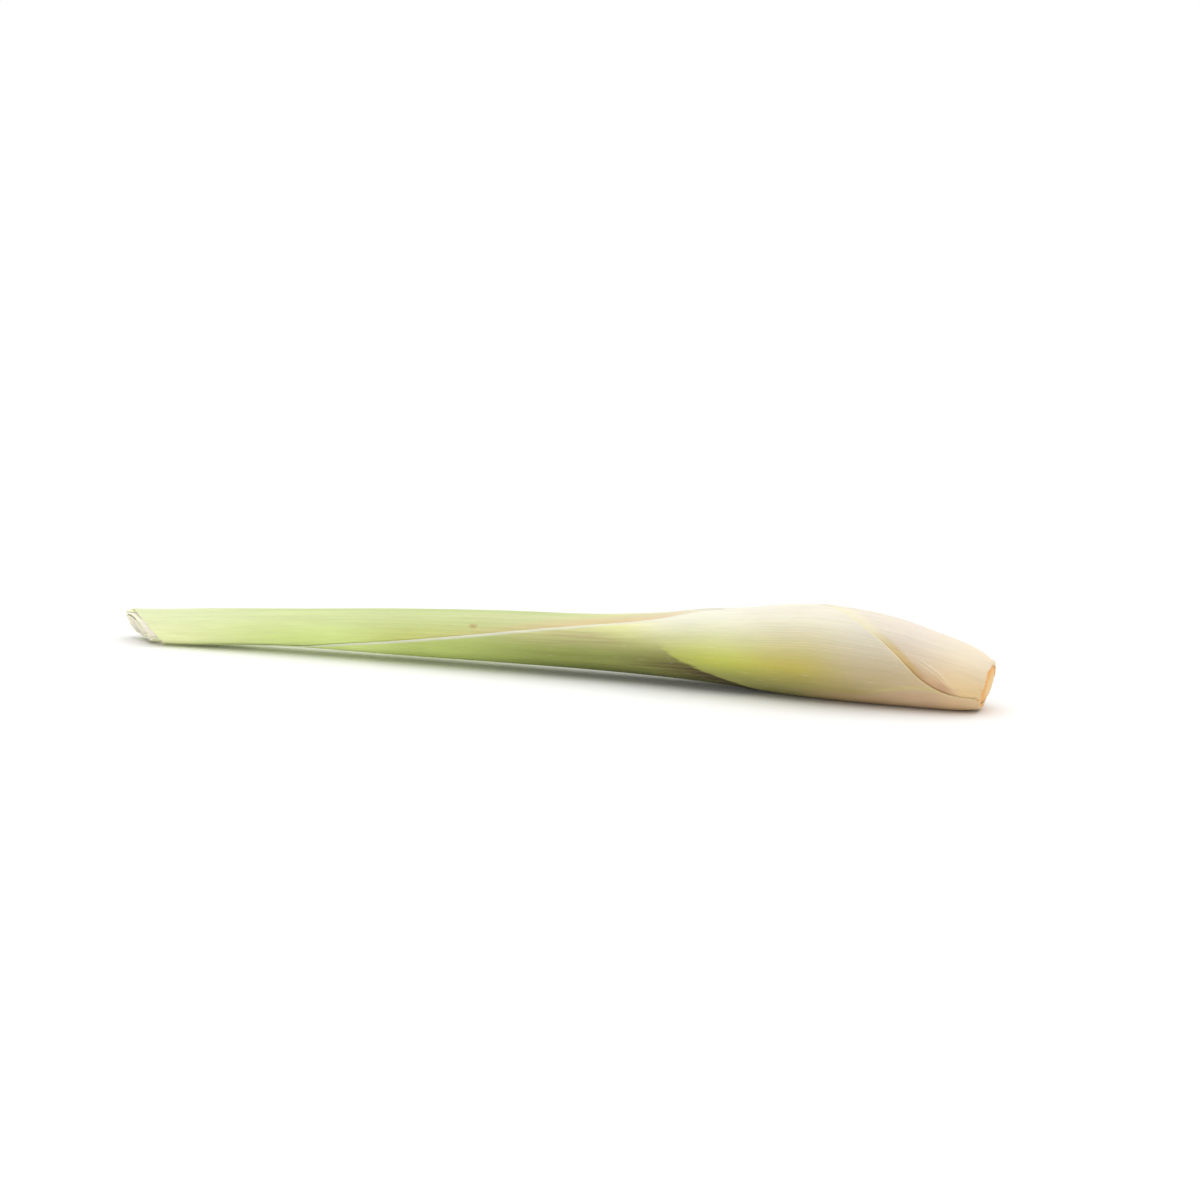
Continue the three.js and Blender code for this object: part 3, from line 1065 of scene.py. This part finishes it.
def stained(tree, colour, here, past, streaks, stained_side, crisp):
    """Brown in streaks, darkest near the line and, partly as painted shade, low on the side; painted shade
    underneath.
    """
    lower = number(tree, "POWER", between(tree, here["up"], *STAIN_DEPTH_AND_SHADE["up"]), STAIN_DEPTH_AND_SHADE["steep"])
    depth = plus(tree, STAIN_DEPTH_AND_SHADE["side"], times(tree, lower, STAIN_DEPTH_AND_SHADE["below"]))
    near_line = times(tree, between(tree, past, STAIN["darker_for"], 0), AMOUNT["near_line"])
    amount = plus(tree, times(tree, streaks, AMOUNT["streaks"]), near_line, AMOUNT["even"])
    fading = between(tree, past, STAIN["reach"], STAIN["full"])
    colour = mixed(tree, times(tree, stained_side, fading, depth, amount), colour, STAIN["colour"])
    # Painted shade: a dark olive underneath.
    low_down = between(tree, here["up"], *UNDERSIDE_SHADE["up"])
    painted_shade = times(tree, crisp, low_down, between(tree, here["along"], *UNDERSIDE_SHADE["along"]), UNDERSIDE_SHADE["share"])
    return mixed(tree, painted_shade, colour, UNDERSIDE_SHADE["colour"])


# %% [markdown]
# ### The veil, the underside and the free edges
#
# A thin brown veil of dried skin lies over the green above the stain, and the bulb's underside has turned
# pinkish. The free edges are so thin that they dry first: a bright line on the bulb, partly pale dry edge
# and partly painted highlight, and a white membrane on the leaf. They could be pieces of their own, but
# the mesh keeps each point's distance from the nearest edge, and that is enough to draw them.

# %% The brown veil and the pinkish underside
VEIL = {"colour": daylight(180, 156, 120), "past": (4, 16), "along": (154, 116), "up": (0.3, 0.5)}
VEIL_SHARE = (0.0, 1.0, 0.2, 0.5)
PINK = {"colour": daylight(212, 176, 146), "along": (58, 30), "past": (0, 12), "before_back": (370, 330)}
PINK_FROM = (14, 36, 196, 218)
PINK_SHARE = 0.5
PINK_LINE = {"colour": daylight(214, 204, 130), "past": (1, 5), "along": (34, 22), "share": 0.4}


def veiled(tree, colour, here, past, streaks):
    """Above the stain a thin brown veil lies over the upper half of the green."""
    there = times(tree, between(tree, past, *VEIL["past"]), between(tree, here["along"], *VEIL["along"]))
    share = times(tree, there, bump_at(tree, here["up"], *VEIL["up"]), between(tree, streaks, *VEIL_SHARE))
    return mixed(tree, share, colour, VEIL["colour"])


def pink_below(tree, colour, here):
    """A pinkish underside towards the base, with a pale line where it starts."""
    past_start = number(tree, "SUBTRACT", here["round"], between(tree, here["along"], *PINK_FROM))
    on_bulb = between(tree, here["along"], *PINK["along"])
    before_back = between(tree, here["round"], *PINK["before_back"])
    pink = times(tree, between(tree, past_start, *PINK["past"]), on_bulb, before_back, PINK_SHARE)
    colour = mixed(tree, pink, colour, PINK["colour"])
    near_base = between(tree, here["along"], *PINK_LINE["along"])
    line = times(tree, bump_at(tree, past_start, *PINK_LINE["past"]), near_base, PINK_LINE["share"])
    return mixed(tree, line, colour, PINK_LINE["colour"])


# %% The outer sheath's free edges
# A pale yellow line at the bulb's first edge, partly painted highlight.
PALE_EDGE_AND_HIGHLIGHT = {
    "colour": daylight(240, 226, 164), "mm": (0.35, 0.05), "round": (250, 240),
    "starts": (12, 34, 0.3, 0.65), "ends": (66, 50),
}
MEMBRANE = {
    "colour": daylight(236, 234, 218), "mm": (1.0, 0.2), "share": 0.8,
    "starts": (70, 90), "ends": (190, 250, 1.0, 0.25),
}


def free_edges(tree, colour, here):
    """A thin pale line at the bulb's first edge, partly painted highlight, and a white membrane at both edges
    on the leaf.
    """
    edge = kept_value(tree, "edge")
    at_first = between(tree, here["round"], *PALE_EDGE_AND_HIGHLIGHT["round"])
    on_bulb = stretch_of(tree, here["along"], PALE_EDGE_AND_HIGHLIGHT)
    line = times(tree, between(tree, edge, *PALE_EDGE_AND_HIGHLIGHT["mm"]), at_first, on_bulb)
    colour = mixed(tree, line, colour, PALE_EDGE_AND_HIGHLIGHT["colour"])
    on_leaf = stretch_of(tree, here["along"], MEMBRANE)
    membrane = times(tree, between(tree, edge, *MEMBRANE["mm"]), on_leaf, MEMBRANE["share"])
    return mixed(tree, membrane, colour, MEMBRANE["colour"])


# %% The outer sheath's skin
OUTER_TONE = 0.065
CRISP = (-1.2, 1.6)
SOFT = (-14, 16)
STAINED_SIDE = (0.5, -0.1)


def outer_sheath_material():
    material, tree, shader = plant_material("outer_sheath_skin")
    here = where_on_skin(tree)
    behind = between(tree, here["round"], *BULB_BACK["round"])
    past = past_slanted_line(tree, here)
    crisp = times(tree, between(tree, past, *CRISP), number(tree, "SUBTRACT", 1.0, behind))
    stained_side = times(tree, crisp, between(tree, here["up"], *STAINED_SIDE))
    leaf_share = number(tree, "MAXIMUM", stained_side, between(tree, past, *SOFT))
    leaf = side_to_top(tree, here["along"], here["sunlit"], LEAF_SIDE, LEAF_TOP)
    colour = mixed(tree, leaf_share, bulb_colour(tree, here, behind), leaf)
    streaks = use(tree, cloudy_patches, Along=2.5, Round=15.0)["Mask"]
    colour = stained(tree, colour, here, past, streaks, stained_side, crisp)
    colour = veiled(tree, colour, here, past, streaks)
    colour = pink_below(tree, colour, here)
    finish_skin(tree, shader, free_edges(tree, colour, here), OUTER_TONE)
    return material


outer_skin = outer_sheath_material()
print("The outer sheath's skin has", len(outer_skin.node_tree.nodes), "nodes")

# %% [markdown]
# ## The second sheath
#
# On the bulb the second sheath is pinkish cream, and near the base cut the warm peach of bruised
# lemongrass. Above the bulb it shows again on the other side of the outer sheath's edge, and becomes light
# green leaf, greenest along its crown. It has ramps of its own, and takes veins and flecks from the shared
# groups.

# %% The second sheath's colours, in mm from the base cut
SECOND_TOP = [
    (0, PALE_PEACH), (20, DUSTY_CREAM), (66, CREAM), (112, GREY_GREEN), (165, DULL_GREEN),
    (195, SOFT_GREEN), (LENGTH, PALE_GREEN),
]
SECOND_SIDE = [
    (0, PEACH), (7, PEACH), (18, BRUISED_TAN), (30, SAND), (70, SAND), (112, GREEN_BUTTER),
    (165, BRIGHT_LEAF), (196, FRESH_GREEN), (LENGTH, LEAF_TIP),
]
CROWN = {
    "colour": daylight(184, 202, 128), "up": (0.9, 1.0), "share": 0.6, "starts": (104, 128),
    "ends": (244, 206),
}


def second_sheath_colour(tree, here):
    """From the bulb to the leaf, with a greener crown on the leaf."""
    colour = side_to_top(tree, here["along"], here["sunlit"], SECOND_SIDE, SECOND_TOP)
    on_leaf = stretch_of(tree, here["along"], CROWN)
    crown = times(tree, between(tree, here["up"], *CROWN["up"]), on_leaf, CROWN["share"])
    return mixed(tree, crown, colour, CROWN["colour"])


# %% [markdown]
# ### Bruises, the thick vein and the flush
#
# Beside the outer sheath's edge the second one shows a pale yellow band. Nearer the base the groove there
# is bruised to ochre and mauve, and the thick vein stands out in pale lines. The pinkish brown in the
# groove is partly bruise and partly painted shade. Above the bulb an orange flush runs along the edge.
# Round blots of colour would cut across the veins. These marks follow the distance from the edge or from
# the vein, which the mesh kept.

# %% Beside the outer sheath's edge near the base
# Pinkish brown in the groove: partly bruise, partly painted shade.
GROOVE_BRUISE_AND_SHADE = {
    "colour": daylight(212, 168, 142), "past": (-1.3, 2.0), "share": 0.4, "starts": (5, 10), "ends": (29, 19),
}
PALE_BAND = {
    "colour": daylight(245, 237, 200), "widens": (16, 36, -1.0, -5.6), "up_to": -0.6, "share": 0.62,
    "starts": (16, 32), "ends": (60, 46),
}
OCHRE = {
    "colour": daylight(216, 188, 94), "past": (-3.2, -1.2), "share": 0.5, "starts": (14.5, 18.5),
    "ends": (31, 23),
}
BRUISE = {"colour": daylight(200, 148, 106), "past": (-0.3, 0.7), "share": 0.42}


def beside_edge(tree, colour, along, past):
    """Pinkish brown in the groove (partly painted shade), a pale yellow band, an ochre stretch, a bruised
    line at the edge.
    """
    in_groove = stretch_of(tree, along, GROOVE_BRUISE_AND_SHADE)
    groove = times(tree, bump_at(tree, past, *GROOVE_BRUISE_AND_SHADE["past"]), in_groove, GROOVE_BRUISE_AND_SHADE["share"])
    colour = mixed(tree, groove, colour, GROOVE_BRUISE_AND_SHADE["colour"])
    band = between(tree, past, between(tree, along, *PALE_BAND["widens"]), PALE_BAND["up_to"])
    band = times(tree, band, stretch_of(tree, along, PALE_BAND), PALE_BAND["share"])
    colour = mixed(tree, band, colour, PALE_BAND["colour"])
    ochre = times(tree, between(tree, past, *OCHRE["past"]), stretch_of(tree, along, OCHRE), OCHRE["share"])
    colour = mixed(tree, ochre, colour, OCHRE["colour"])
    bruise = times(tree, bump_at(tree, past, *BRUISE["past"]), in_groove, BRUISE["share"])
    return mixed(tree, bruise, colour, BRUISE["colour"])


# %% The mauve corner and the thick vein
MAUVE = daylight(182, 134, 116)
MAUVE_CORNER = {"along": (10.3, 3.4), "past": (-0.9, 1.9), "share": 0.32}
MAUVE_BELOW_VEIN = {"along": (9.8, 4.6), "from_vein": (0.1, 1.7), "share": 0.3}
VEIN_LINES = {
    "colour": daylight(250, 236, 212), "first": (0.0, 0.4), "second": (SECOND_VEIN["past"], 0.3),
    "share": 0.72, "starts": (6, 9), "ends": (18.5, 13.5), "broken": (0.36, 0.6, 0.25, 1.0),
}


def beside_vein(tree, colour, along, past, from_vein):
    """Mauve in the corner between vein and edge, and the vein as broken pale lines side by side."""
    corner = times(tree, bump_at(tree, along, *MAUVE_CORNER["along"]), MAUVE_CORNER["share"])
    corner = times(tree, corner, bump_at(tree, past, *MAUVE_CORNER["past"]))
    below_vein = times(tree, bump_at(tree, along, *MAUVE_BELOW_VEIN["along"]), MAUVE_BELOW_VEIN["share"])
    below_vein = times(tree, below_vein, between(tree, from_vein, *MAUVE_BELOW_VEIN["from_vein"]))
    colour = mixed(tree, number(tree, "MAXIMUM", corner, below_vein), colour, MAUVE)
    gaps = use(tree, cloudy_patches, Along=190.0, Round=70.0)["Cloud"]
    there = times(tree, stretch_of(tree, along, VEIN_LINES), between(tree, gaps, *VEIN_LINES["broken"]))
    first_line = bump_at(tree, from_vein, *VEIN_LINES["first"])
    second_line = bump_at(tree, from_vein, *VEIN_LINES["second"])
    lines = times(tree, plus(tree, first_line, second_line), there, VEIN_LINES["share"])
    return mixed(tree, lines, colour, VEIN_LINES["colour"])


# %% The orange flush and the rusty spot
FLUSH = {
    "colour": daylight(232, 188, 146), "narrows": (90, 150, -6.5, -3.0), "up_to": -0.4, "share": 0.5,
    "starts": (76, 92), "ends": (186, 102),
}
SPOT = {
    "colour": daylight(178, 100, 62), "s": 148, "round": 148, "per_mm": 0.45, "per_degree": 0.13,
    "crumbly": 2.4, "inside": (0.1, 0.85, 0.5, 0.0),
}


def flushed(tree, colour, along, past):
    """Above the bulb an orange flush runs along the edge and narrows."""
    flush = between(tree, past, between(tree, along, *FLUSH["narrows"]), FLUSH["up_to"])
    flush = times(tree, flush, stretch_of(tree, along, FLUSH), FLUSH["share"])
    return mixed(tree, flush, colour, FLUSH["colour"])


def spotted(tree, colour, here):
    """One small rusty spot with a crumbly outline."""
    aside = times(tree, number(tree, "SUBTRACT", here["round"], SPOT["round"]), SPOT["per_degree"])
    ahead = times(tree, number(tree, "SUBTRACT", here["along"], SPOT["s"]), SPOT["per_mm"])
    off = number(tree, "SQRT", plus(tree, times(tree, aside, aside), times(tree, ahead, ahead)))
    crumbs = use(tree, cloudy_patches, Along=60.0, Round=40.0)["Cloud"]
    off = plus(tree, off, times(tree, number(tree, "SUBTRACT", crumbs, 0.5), SPOT["crumbly"]))
    return mixed(tree, between(tree, off, *SPOT["inside"]), colour, SPOT["colour"])


# %% The second sheath's skin
def second_sheath_material():
    material, tree, shader = plant_material("second_sheath_skin")
    here = where_on_skin(tree)
    along = here["along"]
    past = kept_value(tree, "past")
    colour = second_sheath_colour(tree, here)
    colour = beside_edge(tree, colour, along, past)
    colour = beside_vein(tree, colour, along, past, kept_value(tree, "vein"))
    colour = flushed(tree, colour, along, past)
    finish_skin(tree, shader, spotted(tree, colour, here), OUTER_TONE)
    return material


second_skin = second_sheath_material()
print("The second sheath's skin has", len(second_skin.node_tree.nodes), "nodes")

# %% [markdown]
# ## Inner sheaths and the heart
#
# What grew in the dark is paler: cream with a breath of green, and almost white at the heart. Only their
# cut ends show, so one material with two colours each is enough.

# %% The inner skins
INNER_TONE = 0.07
INNER_COLOURS = {
    "third_sheath_skin": (daylight(240, 236, 196), daylight(246, 248, 202)),
    "fourth_sheath_skin": (daylight(244, 240, 206), daylight(254, 248, 224)),
    "heart_leaf_skin": (daylight(248, 244, 214), daylight(254, 250, 220)),
}


def inner_material(name):
    """One colour inside the bulb and another on the leaf."""
    material, tree, shader = plant_material(name)
    in_bulb, on_leaf = INNER_COLOURS[name]
    along = use(tree, stalk_place)["Along"]
    colour = colours_along(tree, along, [(20, in_bulb), (150, on_leaf)])
    finish_skin(tree, shader, colour, INNER_TONE)
    return material


inner_skins = [inner_material(name) for name in INNER_COLOURS]
print("Inner skins:", [skin.name for skin in inner_skins])

# %% [markdown]
# ## Cut faces
#
# Where the base was cut, its rim has oxidised to orange, paler towards the pith and dry and dull on top,
# with tiny brown dots where the fibres end. The cut at the leaf end stays cream. Both rims could have
# materials of their own, but one that looks at the distance along the stalk serves both; the pith adds its
# distance from the middle.

# %% The cut rims
RIM = {"roughness": 0.62, "dots_per_metre": 3400.0, "dots": 0.3, "relief": 0.00012}
BASE_RIM = (daylight(250, 182, 106), daylight(254, 214, 150))
LEAF_RIM = (daylight(250, 242, 212), daylight(254, 250, 234))
DRY_RIM = {"colour": daylight(246, 228, 196), "up": (0.45, 0.95), "share": 0.8}
RIM_DOT = daylight(190, 142, 90)
GRAINY = (0.35, 0.65)
BASE_TO_LEAF = (100, 180)


def cut_rim_material():
    material, tree, shader = plant_material("cut_rims")
    shader.inputs["Roughness"].default_value = RIM["roughness"]
    here = use(tree, stalk_place)
    tissue = use(tree, fibre_dots, Dots_per_metre=RIM["dots_per_metre"])
    grain = between(tree, tissue["Grains"], *GRAINY)
    dry = times(tree, between(tree, here["Up"], *DRY_RIM["up"]), DRY_RIM["share"])
    base = mixed(tree, dry, mixed(tree, grain, *BASE_RIM), DRY_RIM["colour"])
    at_leaf = between(tree, here["Along"], *BASE_TO_LEAF)
    colour = mixed(tree, at_leaf, base, mixed(tree, grain, *LEAF_RIM))
    colour = mixed(tree, times(tree, tissue["Dots"], RIM["dots"]), colour, RIM_DOT)
    tree.links.new(colour, shader.inputs["Base Color"])
    raise_lines(tree, shader, tissue["Grains"], RIM["relief"])
    return material


cut_rims = cut_rim_material()
print("Material:", cut_rims.name)


# %% The pith
PITH = {"roughness": 0.7, "dots_per_metre": 2300.0, "dots": 0.42, "relief": 0.00008}
PITH_TISSUE = (daylight(249, 206, 144), daylight(254, 228, 174))
PITH_EDGE = {"colour": daylight(250, 188, 114), "radius": (0.45, 0.97)}
PITH_DOT = daylight(180, 130, 84)


def pith_material():
    material, tree, shader = plant_material("stem_pith")
    shader.inputs["Roughness"].default_value = PITH["roughness"]
    tissue = use(tree, fibre_dots, Dots_per_metre=PITH["dots_per_metre"])
    colour = mixed(tree, between(tree, tissue["Grains"], *GRAINY), *PITH_TISSUE)
    colour = mixed(tree, times(tree, tissue["Dots"], PITH["dots"]), colour, PITH_DOT)
    at_edge = between(tree, kept_value(tree, "radius"), *PITH_EDGE["radius"])
    tree.links.new(mixed(tree, at_edge, colour, PITH_EDGE["colour"]), shader.inputs["Base Color"])
    raise_lines(tree, shader, number(tree, "SUBTRACT", tissue["Grains"], tissue["Dots"]), PITH["relief"])
    return material


pith = pith_material()
print("Material:", pith.name)


# %% The torn fibres' material
DRY_FIBRE = {"roughness": 0.6, "pale": daylight(250, 240, 214), "brown": daylight(244, 214, 166)}
SHADES_PER_METRE = 700.0


def fibre_material():
    material, tree, shader = plant_material("torn_fibre")
    shader.inputs["Roughness"].default_value = DRY_FIBRE["roughness"]
    where = tree.nodes.new("ShaderNodeTexCoord").outputs["Object"]
    shade = between(tree, noise(tree, where, SHADES_PER_METRE), *GRAINY)
    colour = mixed(tree, shade, DRY_FIBRE["pale"], DRY_FIBRE["brown"])
    tree.links.new(colour, shader.inputs["Base Color"])
    return material


dry_fibre = fibre_material()
print("Material:", dry_fibre.name)

# %% [markdown]
# ## Dressing the pieces
#
# Each fine piece rides on the stalk's one body and stands for its CAD node, which is hidden. The skin comes
# first in a piece's materials and the cut rims second, which is the number that the slab's cut faces ask
# for. The torn fibres stand for no node.

# %% Materials, bodies and slots
dressed = [
    (sheaths[0], outer_skin, "outer_sheath", "sheath_1"),
    (sheaths[1], second_skin, "second_sheath", "sheath_2"),
    (sheaths[2], inner_skins[0], "inner_sheath", "sheath_3"),
    (sheaths[3], inner_skins[1], "inner_sheath", "sheath_4"),
    (heart, inner_skins[2], "heart_leaf", "heart_leaf"),
]
for piece, skin, slot, node in dressed:
    piece.data.materials.append(skin)
    piece.data.materials.append(cut_rims)
    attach(piece, "root")
    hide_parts(node)

stem.data.materials.append(pith)
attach(stem, "root")
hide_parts("stem_core")

fibres.data.materials.append(dry_fibre)
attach(fibres, "root")

# %% [markdown]
# ## Floor and light
#
# The stalk lies on a plain white surface under one very large soft light from above and a little behind, as
# in a light tent. The surface sends light up under the stalk. A sun with a wide angle works as such a
# light: it is as soft, and it is as bright at the horizon as under the stalk, so that the floor stays white
# everywhere. The tent's walls are a world that is white to look at and dimmer as a source.

# %% The floor
FLOOR_RADIUS = 30  # metres, so that its rim is never seen
PAPER = {"first": (0.9, 0.9, 0.9, 1), "second": (0.92, 0.92, 0.915, 1), "clouds_per_metre": 3.0}
PAPER_SURFACE = {"Roughness": 0.9, "Specular IOR Level": 0.1}


def paper_material():
    """Matt white, a little cloudy."""
    material = bpy.data.materials.new("white_paper")
    material.use_nodes = True
    tree = material.node_tree
    shader = tree.nodes["Principled BSDF"]
    where = tree.nodes.new("ShaderNodeTexCoord").outputs["Object"]
    clouds = noise(tree, where, PAPER["clouds_per_metre"])
    tree.links.new(mixed(tree, clouds, PAPER["first"], PAPER["second"]), shader.inputs["Base Color"])
    for label, value in PAPER_SURFACE.items():
        shader.inputs[label].default_value = value
    return material


disc = bmesh.new()
bmesh.ops.create_circle(disc, cap_ends=True, segments=64, radius=FLOOR_RADIUS)
floor = finished_piece("floor", disc)
floor.data.materials.append(paper_material())

# %% The light
SUN = {"strength": 2.35, "angle": 90, "from_behind": 4, "from_base": 8}
PANEL = {"watts": 0.34, "size": 0.3, "place": (-0.30, -0.34, 0.09), "towards": (-0.12, 0, 0.01)}


def soft_light():
    """The large light above, tilted a little from behind and from the base."""
    lamp = bpy.data.lights.new("soft_light", "SUN")
    lamp.energy = SUN["strength"]
    lamp.angle = math.radians(SUN["angle"])
    light = bpy.data.objects.new("soft_light", lamp)
    light.rotation_euler = (math.radians(-SUN["from_behind"]), math.radians(SUN["from_base"]), 0)
    bpy.context.scene.collection.objects.link(light)


def leaf_end_panel():
    """A small soft panel in front of the leaf end, where the stalk is furthest from the camera."""
    lamp = bpy.data.lights.new("leaf_panel", "AREA")
    lamp.energy = PANEL["watts"]
    lamp.size = PANEL["size"]
    panel = bpy.data.objects.new("leaf_panel", lamp)
    panel.location = PANEL["place"]
    aim = Vector(PANEL["towards"]) - Vector(PANEL["place"])
    panel.rotation_mode = "QUATERNION"
    panel.rotation_quaternion = aim.to_track_quat("-Z", "Y")
    panel.visible_camera = False
    bpy.context.scene.collection.objects.link(panel)


soft_light()
leaf_end_panel()
print("Lights:", [lamp.name for lamp in bpy.data.lights])


# %% The tent
TENT = {"as_seen": 1.0, "as_light": 0.4}


def white_wall(tree, strength):
    """A white background of this strength."""
    wall = tree.nodes.new("ShaderNodeBackground")
    wall.inputs["Color"].default_value = (1, 1, 1, 1)
    wall.inputs["Strength"].default_value = strength
    return wall.outputs[0]


def tent_world():
    """The walls of the tent: white to look at, dimmer than the light as a source."""
    world = bpy.data.worlds.new("tent")
    world.use_nodes = True
    tree = world.node_tree
    tree.nodes.clear()
    path = tree.nodes.new("ShaderNodeLightPath")
    seen_or_mirrored = number(tree, "MAXIMUM", path.outputs["Is Camera Ray"], path.outputs["Is Glossy Ray"])
    choose = tree.nodes.new("ShaderNodeMixShader")
    leave = tree.nodes.new("ShaderNodeOutputWorld")
    tree.links.new(seen_or_mirrored, choose.inputs[0])
    tree.links.new(white_wall(tree, TENT["as_light"]), choose.inputs[1])
    tree.links.new(white_wall(tree, TENT["as_seen"]), choose.inputs[2])
    tree.links.new(choose.outputs[0], leave.inputs["Surface"])
    return world


bpy.context.scene.world = tent_world()
bpy.context.scene.view_settings.view_transform = "Standard"
print("The tent's walls give", TENT["as_light"], "of the light that they show")

# %% [markdown]
# ## The camera
#
# The camera looks from low in front, turned towards the base, with a portrait lens: the bulb is nearer than
# the leaf end and looks larger, and the base cut shows only as a sliver. A camera can be turned by three
# angles, but it is easier to say where it aims, from which side and height, and how far off it stands.

# %% The camera
AIM = Vector((0.0219, 0.0122, 0.0195))
CAMERA = {"azimuth": 24.96, "elevation": 10.6, "roll": -1.1, "distance": 0.5688, "lens": 60, "sensor": 36}


def camera_piece():
    turn = math.radians(CAMERA["azimuth"])
    tilt = math.radians(CAMERA["elevation"])
    back = Vector((math.sin(turn) * math.cos(tilt), -math.cos(turn) * math.cos(tilt), math.sin(tilt)))
    data = bpy.data.cameras.new("camera")
    data.lens = CAMERA["lens"]
    data.sensor_width = CAMERA["sensor"]
    camera = bpy.data.objects.new("camera", data)
    camera.location = AIM + back * CAMERA["distance"]
    camera.rotation_mode = "QUATERNION"
    roll = Quaternion((0, 0, 1), math.radians(CAMERA["roll"]))
    camera.rotation_quaternion = (-back).to_track_quat("-Z", "Y") @ roll
    bpy.context.scene.collection.objects.link(camera)
    bpy.context.scene.camera = camera
    print("Camera at", [round(x, 4) for x in camera.location])


camera_piece()
